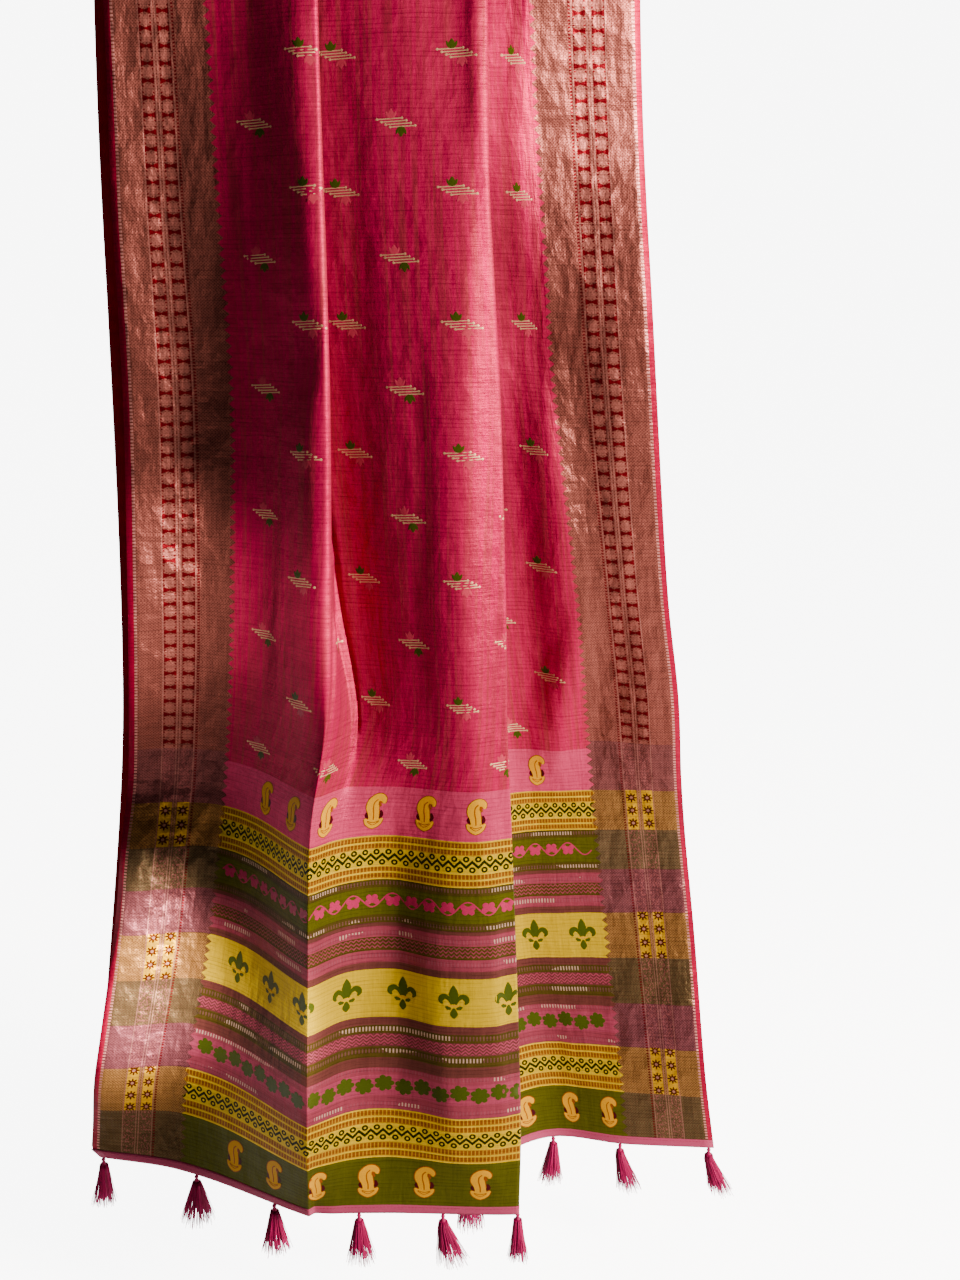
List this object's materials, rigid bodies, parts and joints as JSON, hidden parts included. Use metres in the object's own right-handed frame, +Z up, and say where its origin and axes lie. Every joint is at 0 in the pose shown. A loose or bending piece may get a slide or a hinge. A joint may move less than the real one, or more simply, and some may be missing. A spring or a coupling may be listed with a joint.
{
  "type": "saree hung over a round rod",
  "caption": "Silk saree hung over a plain rod, figured end in front in soft lengthwise pleats, with woven borders and tassels along the hem.",
  "frame": {"origin": "on the rod's axis at the middle of its length, where the rod is held", "axes": "+X along the rod to the viewer's right, -Y out of the cloth's front face, +Z up"},
  "size_m": [0.9719, 0.3316, 1.9491],
  "materials": {
    "rod": "plain turned wood, satin",
    "saree_face": "woven silk tissue with gold figured borders, soft sheen",
    "saree_reverse": "reverse of the silk, dull dark maroon",
    "hem_band": "turned hem of pink silk",
    "tassel": "loose magenta silk threads"
  },
  "bodies": {
    "root": {"rod": "rod", "front_stretch": "saree_face", "hem_band": "hem_band", "back_stretch": "saree_face", "inner_stretch": "saree_reverse", "tassel_01": "tassel", "tassel_02": "tassel", "tassel_03": "tassel", "tassel_04": "tassel", "tassel_05": "tassel", "tassel_06": "tassel", "tassel_07": "tassel", "tassel_08": "tassel", "tassel_09": "tassel", "tassel_10": "tassel"}
  },
  "joints": []
}
